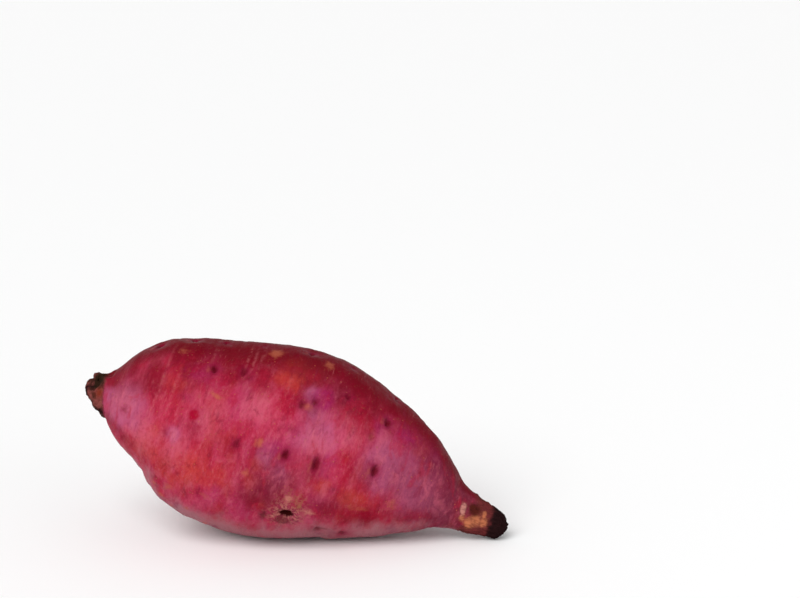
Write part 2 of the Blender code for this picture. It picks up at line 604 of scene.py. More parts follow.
eyes = list(NEAR_EYES) + list(hidden_eyes(random.Random(7)))
print("eyes:", len(eyes))

# %% Press the eyes in
SLIT_MM = 0.45  # half the width of a slit
SLIT_ARCH = 45.0  # how much a slit bows, per metre
BROW_GAP = 0.0095  # how far towards the crown the brow lies, as a share of the length
# Height at full depth, and reach, in mm.
HOLLOW = (-0.8, 6.5)
SLIT = (-0.9, 1.5)
BROW = (0.30, 2.0)


def press_eyes(depth):
    """Makes the hollows, slits and brows of the eyes of one depth."""
    chosen = [eye for eye in eyes if eye[3] == depth]
    middles = any_of(near(s, d, w * 0.6, 0.8) for s, d, w, _ in chosen)
    slits = any_of(near(s, d, w, SLIT_MM, arch=SLIT_ARCH) for s, d, w, _ in chosen)
    brows = any_of(
        near(s - BROW_GAP, d, w * 0.9, SLIT_MM, arch=SLIT_ARCH) for s, d, w, _ in chosen
    )
    swell(middles, HOLLOW[0] * depth, HOLLOW[1])
    swell(slits, SLIT[0] * depth, SLIT[1], "SHARP")
    swell(brows, BROW[0] * depth, BROW[1])


for depth in EYE_DEPTHS:
    press_eyes(depth)
along, around, girth = skin_places()
print("skin with eyes, mm:", [round(s / MM, 1) for s in skin.dimensions])

# %% [markdown]
# ## The root scar
#
# Low on the near side a thick side root broke off. It left a pit with a low swollen rim,
# and the skin around it split in fine pale cracks that run outwards. The rim is pulled out
# first, and the pit and its narrow bottom are pushed in. The cracks come with the colours.

# %% The root scar
SCAR = (0.515, 246)  # share of the length, degrees round
SCAR_TILT = -15.0
# Each part: mm across, mm along, tilt, height and reach in mm, falloff.
SCAR_PARTS = (
    (3.4, 3.4, 0.0, 0.30, 5.0, "SMOOTH"),
    (1.0, 1.7, SCAR_TILT, -1.4, 3.0, "SMOOTH"),
    (0.6, 1.3, SCAR_TILT, -0.9, 1.2, "SHARP"),
)
for across_mm, along_mm, tilt, height_mm, reach_mm, falloff in SCAR_PARTS:
    swell(near(*SCAR, across_mm, along_mm, tilt), height_mm, reach_mm, falloff)
along, around, girth = skin_places()
print("scar, mm from the crown:", round(SCAR[0] * length / MM, 1))

# %% [markdown]
# ## Nodules
#
# A few small hard nodules stand out, most of them low on the root, where side roots only
# began. Each is a small round swell.

# %% Nodules
# Each nodule: share of the length, degrees round, half its width and its height in mm.
NODULES = (
    (0.235, 222, 1.2, 0.55),
    (0.265, 214, 1.0, 0.5),
    (0.215, 229, 0.8, 0.4),
    (0.30, 222, 1.0, 0.4),
    (0.345, 207, 1.2, 0.4),
    (0.19, 205, 1.0, 0.5),
    (0.62, 206, 1.1, 0.4),
    (0.41, 172, 1.0, 0.5),
    (0.55, 128, 1.1, 0.5),
    (0.30, 75, 1.0, 0.4),
)
NODULE_REACH_MM = 2.6
for share, degrees, half_mm, height_mm in NODULES:
    swell(near(share, degrees, half_mm, half_mm), height_mm, NODULE_REACH_MM)
along, around, girth = skin_places()
print("nodules:", len(NODULES))

# %% [markdown]
# ## The corky crown
#
# Where the vines were cut, the crown is a knot of dry stumps. A narrow furrow parts it from
# the skin, and its edge leans: it reaches further down the near side than over the back.
# Knobs are pulled out of it and notches pushed in between them. The corners of a knob are
# those nearest to a point beside the axis. Two sizes of clouds roughen it at last.

# %% Closeness to a point
def ball(share, degrees, out_mm, size_mm):
    """Closeness to a point beside the axis, from 1 at it to 0 far from it."""
    angle = math.radians(degrees)
    aside = to_back * math.cos(angle) + to_far * math.sin(angle)
    middle = crown + to_tail * (share * length) + aside * (out_mm * MM)
    gap = np.linalg.norm(corners_of(skin) - np.array(middle), axis=1)
    return np.exp(-((gap / (size_mm * MM)) ** 2))


# %% The crown
CORK_EDGE = 0.050  # share of the length
CORK_LEAN = 0.014
CORK_FADE = (0.004, -0.010)  # past the edge, where the roughening starts and is full
cork_edge = CORK_EDGE - CORK_LEAN * np.cos(np.radians(around))
from_cork_edge = along / length - cork_edge
cork_weight = ramp(from_cork_edge, *CORK_FADE)
FURROW = (0.002, -0.35, 2.0)  # half its width as a share, height and reach in mm
swell(np.abs(from_cork_edge) < FURROW[0], FURROW[1], FURROW[2])
# Each knob: share of the length, degrees round, mm from the axis, height and reach in mm.
KNOBS = (
    (0.000, 210, 5.0, -2.6, 6.5),
    (0.018, 4, 7.5, 1.3, 2.0),
    (0.034, 348, 9.5, 0.6, 2.4),
    (0.050, 352, 9.5, -0.9, 2.2),
    (0.004, 340, 9.0, -2.8, 3.4),
    (0.012, 328, 8.5, -1.2, 1.6),
    (0.004, 308, 5.5, 0.7, 2.2),
    (0.018, 300, 7.5, -0.5, 1.6),
    (0.004, 45, 5.0, 1.4, 3.0),
    (0.014, 100, 6.0, 1.1, 3.0),
    (0.034, 262, 7.0, 0.9, 2.2),
    (0.004, 6, 5.4, -1.7, 2.4),
    (0.008, 75, 5.5, -0.9, 2.0),
)
KNOB_SIZE_MM = 2.0
KNOB_PICK = 0.75  # share of the greatest closeness from which a corner is picked
for share, degrees, out_mm, height_mm, reach_mm in KNOBS:
    closeness = ball(share, degrees, out_mm, KNOB_SIZE_MM)
    swell(closeness > KNOB_PICK * closeness.max(), height_mm, reach_mm)
ruffle("cork_lumps", 2.8, 1.2, cork_weight)
ruffle("cork_grain", 0.9, 0.6, cork_weight)
along, around, girth = skin_places()
print("corky corners:", int((cork_weight > 0.0).sum()))

# %% [markdown]
# ## The broken tail
#
# The skin ends in a ragged edge before the tail does, and bare wood shows beyond it. Wood
# is made of long fibres, so its clouds are drawn out along the root. The very end is dry
# and black where the thin root broke off.

# %% The tail
SKIN_END = 0.893  # share of the length
SKIN_END_LEAN = 0.02
SKIN_END_TURN = 40.0  # degrees
TIP_START = 0.955
WOOD_FADE = (-0.006, 0.010)  # past the skin's end, where the fibres start and are full
TIP_FADE = (TIP_START - 0.015, TIP_START + 0.02)
skin_end = SKIN_END + SKIN_END_LEAN * np.cos(np.radians(around + SKIN_END_TURN))
from_skin_end = along / length - skin_end
wood_weight = ramp(from_skin_end, *WOOD_FADE)
tip_weight = ramp(along / length, *TIP_FADE)
ruffle("tail_fibres", 1.0, 1.1, wood_weight, (1.0, 1.0, 6.0))
ruffle("tail_lumps", 3.5, 1.3, wood_weight)
ruffle("tip_splinters", 0.8, 1.0, tip_weight, (1.0, 1.0, 2.5))
along, around, girth = skin_places()
print("skin with its ends, mm:", [round(s / MM, 1) for s in skin.dimensions])

# %% [markdown]
# ## The small flat that it rests on
#
# A root settles on a small flat of its belly. Whatever bulges below the surface it lies on
# is pressed up to it, by scaling those corners to nothing in height about the surface.

# %% Press the belly flat
def press_flat():
    """Brings every corner below the surface up to it."""
    select_corners(corners_of(skin)[:, 2] < 0.0)
    bpy.ops.transform.resize(value=(1.0, 1.0, 0.0), center_override=(0.0, 0.0, 0.0))
    bpy.ops.object.mode_set(mode="OBJECT")


press_flat()
print("lowest corner, mm:", round(corners_of(skin)[:, 2].min() / MM, 3))

# %% [markdown]
# ## Painting by place
#
# Skin colour isn't even. Air, light and soil leave their mark: the back is deep crimson,
# the flanks are rosy, dust clings to the underside, and rubbed places turn tan. Some of the
# colour is painted light and shade: painted shade darkens the top of the back and runs in a
# dark rim along it, some dusky daubs are painted shade and painted shadow on the top, the
# lilac patches are partly painted sheen, and the grey of the underside is partly a painted
# reflection of the pale floor. Each of these is painted as a soft mask that is kept on the
# corners of the skin, and the material mixes its colours by them. On the near side the
# daubs are placed one by one. On the rest of the root dice place some of the same colours.

# %% Painting tools
def paint(name, weights):
    """Keeps a value from 0 to 1 at every corner, for the material to read."""
    layer = skin.data.attributes.new(name, "FLOAT", "POINT")
    layer.data.foreach_set("value", np.clip(weights, 0.0, 1.0).astype(np.float32))


def daubs(places):
    """The strongest of several soft ovals at every corner."""
    weights = np.zeros(len(along))
    for share, degrees, across_mm, along_mm, strength, *tilt in places:
        oval = patch(share, degrees, across_mm, along_mm, *tilt)
        weights = np.maximum(weights, strength * oval)
    return weights


HIDDEN_DEGREES = (20, 185)  # the part of the root that the near side doesn't show


def scattered(dice, count, smallest_mm, largest_mm):
    """Ovals at random places on the hidden part of the root."""
    for _ in range(count):
        across_mm = dice.uniform(smallest_mm, largest_mm)
        share, degrees = dice.uniform(0.12, 0.84), dice.uniform(*HIDDEN_DEGREES)
        along_mm = across_mm * dice.uniform(0.5, 1.2)
        tilt, strength = dice.uniform(-30, 30), dice.uniform(0.5, 1.0)
        yield share, degrees, across_mm, along_mm, strength, tilt


# %% Orange, lilac and painted sheen, and blush daubs
# Each daub: share of the length, degrees round, mm across, mm along, strength and, for a
# few, a tilt in degrees.
ORANGE_DAUBS = (
    (0.29, 259, 8, 10, 1.0),
    (0.18, 258, 6, 6, 0.9),
    (0.25, 247, 5, 6, 0.8),
    (0.19, 275, 5, 5, 0.6),
    (0.35, 263, 6, 6, 0.8),
    (0.425, 277, 3.5, 3, 0.9),
    (0.42, 266, 5, 4, 0.7),
    (0.575, 274, 4, 4, 1.0),
    (0.645, 271, 4, 9, 1.0),
    (0.18, 318, 5, 4, 0.4),
    (0.44, 333, 5, 6, 1.0),
    (0.455, 345, 6, 10, 0.9),
)
# Lilac daubs: partly a lilac bloom on the skin and partly a painted sheen.
LILAC_AND_SHEEN_DAUBS = (
    (0.065, 300, 4, 5, 1.0),
    (0.105, 289, 8, 8, 1.3),
    (0.60, 312, 7, 7, 0.4),
    (0.13, 277, 5, 5, 0.9),
    (0.53, 308, 13, 9, 0.8),
    (0.69, 306, 12, 10, 1.0),
    (0.67, 334, 6, 9, 0.45),
    (0.77, 300, 12, 11, 1.0),
    (0.81, 287, 7, 8, 1.0),
    (0.44, 284, 6, 5, 0.6),
    (0.48, 275, 5, 6, 0.6),
    (0.23, 279, 3.5, 3, 0.9),
    (0.495, 328, 4, 4, 0.9),
    (0.28, 215, 6, 9, 0.6),
)
BLUSH_DAUBS = (
    (0.10, 292, 7, 6, 0.8),
    (0.17, 270, 9, 7, 0.8),
    (0.24, 268, 8, 7, 0.7),
    (0.30, 302, 8, 6, 0.8),
    (0.54, 300, 6, 7, 0.8),
    (0.38, 308, 8, 8, 0.7),
    (0.60, 314, 8, 8, 0.5),
    (0.23, 279, 2.5, 2, 1.0),
)
print("orange, lilac, blush:", len(ORANGE_DAUBS), len(LILAC_AND_SHEEN_DAUBS), len(BLUSH_DAUBS))

# %% Crimson and painted top shade, magenta and scarlet daubs
# The crimson daubs on the top of the back are partly deep crimson and partly painted shade.
CRIMSON_AND_TOP_SHADE_DAUBS = (
    (0.15, 322, 10, 8, 1.0),
    (0.09, 335, 7, 8, 1.0),
    (0.06, 334, 7, 5, 1.2),
    (0.20, 342, 18, 11, 1.0),
    (0.32, 350, 18, 14, 1.0),
    (0.46, 350, 14, 14, 1.0),
    (0.60, 345, 12, 14, 0.9),
    (0.72, 340, 9, 14, 0.65),
    (0.66, 254, 6.5, 22, 0.8),
    (0.80, 262, 5, 10, 0.8),
    (0.45, 256, 7, 9, 0.8),
    (0.55, 280, 4, 5, 0.5),
    (0.085, 258, 3.5, 6, 1.0),
    (0.125, 252, 4, 6, 0.6),
    (0.32, 279, 8, 6, 0.4),
    (0.36, 281, 5, 4, 0.5),
)
MAGENTA_DAUBS = (
    (0.522, 328, 5, 4, 1.3),
    (0.24, 325, 5, 6, 0.5),
    (0.57, 293, 4, 3, 0.8),
    (0.45, 290, 4, 4, 0.7),
    (0.23, 308, 4, 4, 0.5),
    (0.27, 296, 5, 6, 0.5),
    (0.66, 328, 4, 4, 0.6),
    (0.16, 285, 4, 4, 0.5),
    (0.73, 335, 7, 7, 0.8),
    (0.79, 332, 7, 7, 0.8),
)
SCARLET_DAUBS = (
    (0.261, 296, 2.0, 2.0, 1.3),
    (0.66, 256, 4.0, 14, 0.55),
    (0.79, 263, 3.5, 7, 0.5),
    (0.09, 256, 3.0, 5, 0.4),
)
print("crimson, magenta, scarlet:", len(CRIMSON_AND_TOP_SHADE_DAUBS), len(MAGENTA_DAUBS), len(SCARLET_DAUBS))

# %% Dusky and painted shade, dust and painted reflection daubs, tan rubs, faint lines
# Darker daubs: some are painted shade, and those on the top are a painted shadow.
DUSK_AND_SHADE_DAUBS = (
    (0.47, 268, 12, 13, 0.75),
    (0.60, 263, 7, 12, 0.45),
    (0.42, 285, 5, 5, 0.4),
    (0.66, 292, 6, 6, 0.5),
    (0.75, 300, 14, 14, 0.55),
    (0.10, 310, 6, 6, 0.5),
    (0.27, 288, 5, 4, 0.4),
    (0.56, 336, 7, 7, 0.5),
    (0.50, 321, 6, 4, 0.5),
    (0.84, 300, 9, 9, 0.4),
    (0.07, 342, 5, 4, 0.25),
    (0.60, 218, 8, 16, 0.4),
    (0.80, 325, 10, 12, 0.8),
    (0.48, 345, 8, 7, 0.6),
)
# Grey daubs low on the near side: dust, and a painted reflection of the pale floor.
DUST_AND_REFLECTION_DAUBS = (
    (0.31, 210, 9, 14, 1.0),
    (0.40, 208, 12, 18, 1.0),
    (0.56, 214, 12, 20, 1.0),
    (0.72, 222, 10, 16, 0.9),
    (0.20, 225, 8, 10, 0.5),
)
TAN_DAUBS = (
    (0.39, 353, 3.2, 2.6, 1.0, 20),
    (0.51, 352, 3.0, 2.0, 0.8),
    (0.295, 312, 0.9, 3.0, 0.9, 25),
    (0.415, 291, 1.8, 1.6, 0.9),
    (0.405, 270, 1.6, 1.8, 0.7),
    (0.49, 320, 1.6, 2.2, 0.8),
    (0.645, 319, 2.2, 1.6, 0.5),
    (0.19, 345, 2.2, 2.0, 0.6),
    (0.73, 272, 2.6, 2.6, 0.6),
    (0.25, 235, 2.2, 2.2, 0.6),
    (0.66, 262, 1.6, 4.0, 0.6),
    (0.335, 244, 1.6, 3.0, 0.5),
)
# A faint line is a very narrow daub across the root, where the skin was grazed.
FAINT_LINES = (
    (0.17, 325, 12, 0.45, 0.7),
    (0.20, 312, 6, 0.45, 0.8),
    (0.335, 347, 8, 0.4, 0.8),
    (0.35, 344, 8, 0.4, 1.0),
    (0.365, 346, 7, 0.4, 0.9),
    (0.31, 305, 6, 0.4, 0.6),
    (0.545, 268, 8, 0.45, 1.0, -8),
    (0.51, 300, 5, 0.4, 0.6),
    (0.44, 330, 6, 0.4, 0.7),
    (0.26, 345, 6, 0.4, 0.6),
    (0.60, 310, 5, 0.4, 0.6, 5),
    (0.513, 264, 3.6, 0.3, 1.2),
    (0.497, 262, 3.0, 0.3, 1.0, -12),
    (0.532, 263, 3.2, 0.3, 1.0, 10),
    (0.555, 286, 4.0, 0.3, 0.9),
    (0.535, 288, 3.0, 0.3, 0.8),
)
print("dusk, dust, tan:", len(DUSK_AND_SHADE_DAUBS), len(DUST_AND_REFLECTION_DAUBS), len(TAN_DAUBS))
print("faint lines:", len(FAINT_LINES))

# %% Paint the patches of colour
# Where a colour starts and is full, as cosines of the angle round the root.
# The underside's grey is dust and partly a painted reflection of the pale floor.
BELLY_EDGE = (-0.5, -1.0)
# The back's deep crimson is partly its own colour and partly painted shade.
BACK_SHADE_EDGE = (0.55, 1.0)
# The top rim is painted shade: a dark line painted along the top of the back.
TOP_RIM_SHADE_EDGE = (0.80, 0.98)
TOP_RIM_SHADE_DEGREES = 8.0  # the dark line of the back lies a little towards the far side
DUSK_EDGE = (0.64, 0.90)  # shares of the length over which the tail darkens


def with_scattered(places, seed, count, smallest_mm, largest_mm):
    """The near side's own daubs and, on the hidden part, some placed by dice."""
    hidden = scattered(random.Random(seed), count, smallest_mm, largest_mm)
    return np.maximum(daubs(places), daubs(hidden))


def facing(degrees):
    """The cosine of the angle from a line along the root, 1 on it and -1 opposite."""
    return np.cos(np.radians(around - degrees))


paint("faint_line", daubs(FAINT_LINES))
paint("magenta", with_scattered(MAGENTA_DAUBS, 4, 7, 3, 7))
paint("orange", with_scattered(ORANGE_DAUBS, 1, 9, 5, 12))
# Lilac bloom and a painted sheen on the near side.
paint("lilac", with_scattered(LILAC_AND_SHEEN_DAUBS, 2, 9, 6, 13))
paint("tan", with_scattered(TAN_DAUBS, 3, 16, 1.2, 3))
# Dust, and a painted reflection of the pale floor, grey the underside.
paint("dust", np.maximum(daubs(DUST_AND_REFLECTION_DAUBS), 0.9 * ramp(facing(0.0), *BELLY_EDGE)))
# Deep crimson patches, and painted shade that makes the top of the back darker.
paint("crimson", np.maximum(daubs(CRIMSON_AND_TOP_SHADE_DAUBS), 0.75 * ramp(facing(0.0), *BACK_SHADE_EDGE)))
# Painted shade: the top rim of the back is painted dark.
paint("limb", ramp(facing(TOP_RIM_SHADE_DEGREES), *TOP_RIM_SHADE_EDGE))
# Darker towards the tail, and daubs of painted shade and painted shadow.
paint("dusk", np.maximum(ramp(along / length, *DUSK_EDGE), daubs(DUSK_AND_SHADE_DAUBS)))
paint("blush", daubs(BLUSH_DAUBS))
paint("scarlet", daubs(SCARLET_DAUBS))
print("patches painted:", len(skin.data.attributes))

# %% [markdown]
# ## Painting the marks
#
# The eyes, the scar, the cork and the bare wood get masks of their own. They are placed by
# the same values as the dents and edges, so that a mark's colour always sits on its shape.

# %% Paint the eyes
LID_GAP = 0.012  # how far towards the crown a lid lies, as a share of the length
LID_TURN = 2.0  # degrees
NODULE_SPREAD = 1.4  # a nodule's spot is this many times as wide as the nodule


def eye_mask(across_more_mm, along_mm, lowest=0.0):
    """Soft ovals over all eyes, wider than their slits by some millimetres."""
    weights = np.zeros(len(along))
    for share, degrees, half, depth in eyes:
        oval = patch(share, degrees, half + across_more_mm, along_mm)
        weights = np.maximum(weights, oval * max(depth, lowest))
    return weights


deepest = [eye for eye in eyes if eye[3] == EYE_DEPTHS[-1]]
lids = [(s - LID_GAP, d - LID_TURN, half, 0.8, 1.0) for s, d, half, _ in deepest]
spots = [(s, d, NODULE_SPREAD * w, NODULE_SPREAD * w, 0.8) for s, d, w, _ in NODULES]
paint("eye", eye_mask(0.3, 1.5))
paint("eye_shade", eye_mask(2.0, 3.3, 0.6))
paint("lid", daubs(lids))
paint("nodule", daubs(spots))
print("lids:", len(lids))

# %% Paint the scar
# The material needs the direction from the pit, so its place is kept in mm as a vector.
SCAR_PALE_DAUBS = (
    (0.511, 260, 1.3, 1.4, 1.1),
    (0.561, 251, 1.6, 2.2, 0.8),
    (0.494, 245, 2.2, 0.8, 0.8, 20),
)
SCAR_OLIVE_DAUBS = (
    (0.537, 255, 1.5, 1.2, 1.0),
    (0.522, 261, 4.0, 4.5, 0.5),
)
SCAR_BROWN_DAUBS = (
    (0.512, 240, 1.6, 3.0, 1.3),
    (0.466, 242, 2.0, 2.4, 0.7),
    (0.60, 231, 1.2, 3.0, 0.7),
)
paint("scar_pale", daubs(SCAR_PALE_DAUBS))
paint("scar_olive", daubs(SCAR_OLIVE_DAUBS))
paint("scar_brown", daubs(SCAR_BROWN_DAUBS))
scar_across, scar_down = offsets(*SCAR)
scar_place = np.stack([scar_across, scar_down, np.zeros(len(along))], axis=1) / MM
layer = skin.data.attributes.new("scar_place", "FLOAT_VECTOR", "POINT")
layer.data.foreach_set("vector", scar_place.astype(np.float32).ravel())
print("nearest corner to the pit, mm:", round(float(np.hypot(*scar_place.T[:2]).min()), 2))

# %% Paint the crown and the tail
TAIL_TAN = (
    (0.893, 270, 2.0, 1.6, 0.9),
    (0.910, 260, 2.6, 2.4, 1.0),
    (0.925, 272, 2.6, 2.6, 1.0),
    (0.942, 272, 2.2, 1.6, 1.0),
    (0.940, 296, 1.8, 0.9, 1.0),
    (0.93, 120, 4.0, 2.5, 1.0),
)
TAIL_PALE = (
    (0.890, 295, 2.4, 1.2, 1.2),
    (0.90, 60, 2.5, 2.0, 0.8),
)
TAIL_BROWN = (
    (0.914, 304, 2.4, 2.4, 1.3),
    (0.93, 20, 3.0, 2.5, 0.8),
)
# Past the edges, where the colours start and are full.
CORK_BLEND = (0.008, -0.006)
WOOD_BLEND = (-0.012, 0.014)
TIP_BLEND = (TIP_START - 0.012, TIP_START + 0.012)
black_top = ball(0.0, 330, 4.0, 3.0)
black_foot = 0.7 * ball(0.046, 245, 8.0, 3.4)
paint("cork", ramp(from_cork_edge, *CORK_BLEND))
paint("cork_olive", ball(0.020, 345, 8.0, 3.8))
paint("cork_black", np.maximum(black_top, black_foot))
paint("cork_rust", ball(0.036, 305, 7.8, 1.8))
paint("wood", ramp(from_skin_end, *WOOD_BLEND))
paint("tip", ramp(along / length, *TIP_BLEND))
paint("tail_tan", daubs(TAIL_TAN))
paint("tail_pale", daubs(TAIL_PALE))
paint("tail_brown", daubs(TAIL_BROWN))
print("painted:", [layer.name for layer in skin.data.attributes if layer.name[0].islower()])

# %% [markdown]
# ## Tools for the material
#
# A material is a chain of small nodes, and each makes one effect. These helpers add a node,
# set its inputs and hand on its output, so that each effect can be written as one short
# step. Colours are written as a screen shows them, from 0 to 255, and turned into the
# linear values that Blender calculates with.

# %% Node helpers
def colour(red, green, blue):
    """A screen colour as linear values."""
    return tuple(
        part / 12.92 if part <= 0.04045 else ((part + 0.055) / 1.055) ** 2.4
        for part in (red / 255, green / 255, blue / 255)
    ) + (1.0,)


def set_input(socket, value):
    """Links a socket to another, or gives it a plain value."""
    if isinstance(value, bpy.types.NodeSocket):
        tree.links.new(value, socket)
    else:
        socket.default_value = value


def node(kind, inputs, **settings):
    """Adds a node with its settings and inputs."""
    made = tree.nodes.new("ShaderNode" + kind)
    for name, value in settings.items():
        setattr(made, name, value)
    for name, value in inputs.items():
        set_input(made.inputs[name], value)
    return made


def mix(share, first, second, blend="MIX"):
    """Mixes two colours."""
    made = node("Mix", {0: share, 6: first, 7: second}, data_type="RGBA", blend_type=blend)
    return made.outputs[2]


def reckon(operation, first, second):
    """One step of arithmetic on two values, such as SUBTRACT or MAXIMUM."""
    return node("Math", {0: first, 1: second}, operation=operation).outputs[0]


def plus(first, second):
    return reckon("ADD", first, second)


def times(first, second):
    return reckon("MULTIPLY", first, second)


def band(value, low, high, start=0.0, end=1.0):
    """Maps a value smoothly from low..high to start..end."""
    inputs = {"Value": value, 1: low, 2: high, 3: start, 4: end}
    return node("MapRange", inputs, interpolation_type="SMOOTHSTEP").outputs[0]


def painted(name):
    """A painted mask."""
    return node("Attribute", {}, attribute_name=name).outputs["Fac"]


def stretched(by_x, by_y, by_z):
    """The root's own coordinates, drawn out by a factor in each direction."""
    inputs = {0: root_place, 1: (1.0 / by_x, 1.0 / by_y, 1.0 / by_z)}
    return node("VectorMath", inputs, operation="MULTIPLY").outputs[0]


def cloud(place, size_mm, detail=3.0, roughness=0.55, distortion=0.0):
    """A noise pattern whose features have about the given size."""
    inputs = {
        "Vector": place,
        "Scale": 1.0 / (size_mm * MM),
        "Detail": detail,
        "Roughness": roughness,
        "Distortion": distortion,
    }
    return node("TexNoise", inputs).outputs["Fac"]


potato = bpy.data.materials.new("sweet_potato_skin")
potato.use_nodes = True
tree = potato.node_tree
shader = tree.nodes["Principled BSDF"]
root_place = node(
    "Mapping",
    {
        "Vector": node("TexCoord", {}).outputs["Object"],
        "Location": lying.inverted().translation,
        "Rotation": lying.inverted().to_euler(),
    },
).outputs[0]

# %% [markdown]
# ## The colours of the skin
#
# The skin is laid up like paint. Rose and crimson blotches, drawn out round the root, are
# the ground. The painted patches come over it, each broken up by its own noise, so that no
# patch has a drawn edge. Some of them are painted shade, painted shadow, painted sheen and
# painted reflection. Fine pale and dark streaks run across the root on top of them.

# %% Ground and patches
ROSE = colour(172, 56, 82)
CRIMSON = colour(150, 22, 46)
MAGENTA = colour(156, 42, 82)
PURPLE = colour(140, 18, 78)
ORANGE = colour(168, 50, 42)
LILAC_AND_SHEEN = colour(160, 76, 110)
DEEP_CRIMSON_AND_SHADE = colour(114, 4, 24)
DUST_AND_REFLECTION = colour(150, 98, 106)
TAN = colour(166, 86, 62)
RED = colour(140, 0, 34)
RUSSET = colour(150, 48, 40)
WINE = colour(104, 8, 34)
TOP_RIM_SHADE_COLOUR = colour(98, 0, 16)
PLUM = colour(112, 34, 66)
BLUSH = colour(184, 86, 104)
DUSK_AND_SHADE_COLOUR = colour(94, 30, 46)
round_1 = stretched(1, 1, 1)
round_2 = stretched(2.2, 2.2, 1)
round_8 = stretched(8, 8, 1)
blotch = cloud(round_2, 7.0, 5.0, 0.6, 0.4)
wide_blotch = cloud(round_2, 16.0, 3.0, 0.5)
haze = cloud(round_2, 11.0, 4.0, 0.6, 0.3)
skin_colour = mix(band(blotch, 0.32, 0.68), ROSE, CRIMSON)
skin_colour = mix(band(wide_blotch, 0.45, 0.7, 0.0, 0.7), skin_colour, MAGENTA)


def broken(name, place, size_mm, strength=1.0, raggedness=1.3):
    """A painted mask whose edge is broken up by clouds."""
    clouds = reckon("SUBTRACT", cloud(place, size_mm, 5.0, 0.65), 0.5)
    edge = plus(painted(name), times(clouds, raggedness))
    return band(edge, 0.12, 0.95, 0.0, strength)


# Deep crimson, partly the skin's own and partly painted shade over the top of the back.
skin_colour = mix(broken("crimson", round_2, 6.0, 0.9), skin_colour, DEEP_CRIMSON_AND_SHADE)
skin_colour = mix(broken("orange", round_2, 5.0, 0.8), skin_colour, ORANGE)
# Lilac, partly bloom and partly a painted sheen.
skin_colour = mix(broken("lilac", round_2, 8.0, 0.85, 1.0), skin_colour, LILAC_AND_SHEEN)
skin_colour = mix(broken("magenta", round_1, 5.0, 0.75, 1.0), skin_colour, PURPLE)
# Darker towards the tail, with painted shade and painted shadow in the daubs.
skin_colour = mix(times(painted("dusk"), 0.9), skin_colour, DUSK_AND_SHADE_COLOUR)
skin_colour = mix(broken("blush", round_2, 6.0, 0.5), skin_colour, BLUSH)
clear = reckon("SUBTRACT", 1.0, times(painted("crimson"), 0.85))
patchy = cloud(stretched(1.8, 1.8, 1), 5.0, 4.0, 0.6, 0.6)
mottle = cloud(round_2, 2.8, 5.0, 0.65, 0.5)
grains = cloud(stretched(1.5, 1.5, 1), 0.9, 3.0, 0.6)


def mottled(clouds, dark, dark_from, dark_to, dark_most, pale_from, pale_to, pale_most):
    """The skin's colour, darker where clouds are high and paler where they are low."""
    darker = mix(band(clouds, dark_from, dark_to, 0.0, dark_most), skin_colour, dark)
    pale = times(band(clouds, pale_from, pale_to, 0.0, pale_most), clear)
    return mix(pale, darker, BLUSH)


skin_colour = mottled(patchy, CRIMSON, 0.50, 0.66, 0.5, 0.46, 0.32, 0.35)
skin_colour = mix(band(haze, 0.52, 0.72, 0.0, 0.45), skin_colour, RUSSET)
skin_colour = mottled(mottle, WINE, 0.52, 0.74, 0.5, 0.48, 0.28, 0.35)
skin_colour = mottled(grains, WINE, 0.50, 0.72, 0.25, 0.48, 0.30, 0.18)
# Grey dust and a painted reflection of the pale floor on the underside, with plum spots.
skin_colour = mix(broken("dust", round_2, 4.0, 0.85), skin_colour, DUST_AND_REFLECTION)
plum_spots_below = band(cloud(round_2, 3.2, 3.0), 0.52, 0.68, 0.0, 0.55)
plum_spots_below = times(painted("dust"), plum_spots_below)
skin_colour = mix(plum_spots_below, skin_colour, PLUM)
# Painted shade darkens the top rim of the back.
skin_colour = mix(times(painted("limb"), 0.85), skin_colour, TOP_RIM_SHADE_COLOUR)
skin_colour = mix(broken("tan", round_1, 2.0, 0.66), skin_colour, TAN)
skin_colour = mix(broken("nodule", round_1, 1.5, 0.5), skin_colour, TAN)
skin_colour = mix(broken("scarlet", round_1, 1.5, 0.95, 0.6), skin_colour, RED)

# %% Streaks and pores
PALE_STREAK = colour(200, 112, 116)
DARK_STREAK = colour(116, 22, 48)
PORE_GAP_MM = 2.4
fine = cloud(stretched(6, 6, 1), 0.8, 3.0, 0.6, 0.3)
coarse = cloud(round_8, 2.2, 3.0, 0.6, 0.3)
where = cloud(round_1, 9.0, 2.0)
pale_streaks = times(band(fine, 0.58, 0.74), band(where, 0.46, 0.64))
dark_streaks = times(band(coarse, 0.42, 0.30), band(where, 0.60, 0.40))
skin_colour = mix(times(pale_streaks, 0.2), skin_colour, PALE_STREAK)
faint_lines = times(painted("faint_line"), band(cloud(round_1, 2.0), 0.35, 0.6))
skin_colour = mix(times(faint_lines, 0.3), skin_colour, PALE_STREAK)
skin_colour = mix(times(dark_streaks, 0.35), skin_colour, DARK_STREAK)
pore_inputs = {"Vector": round_1, "Scale": 1.0 / (PORE_GAP_MM * MM), "Randomness": 1.0}
pore_cells = node("TexVoronoi", pore_inputs)
pores = band(pore_cells.outputs["Distance"], 0.16, 0.06)
pore_choice = node("SeparateColor", {0: pore_cells.outputs["Color"]}).outputs[0]
pores = times(pores, band(pore_choice, 0.55, 0.75))
skin_colour = mix(times(pores, 0.5), skin_colour, TAN)

# %% [markdown]
# ## Eyes and scar
#
# The skin darkens towards an eye, and the slit itself is nearly black-red. The scar is
# dark in its pit. Round it, thin pale cracks run outwards and fade, over brown grains and a
# few painted patches. The cracks are a noise that changes with the direction from the pit
# and hardly with the distance from it.

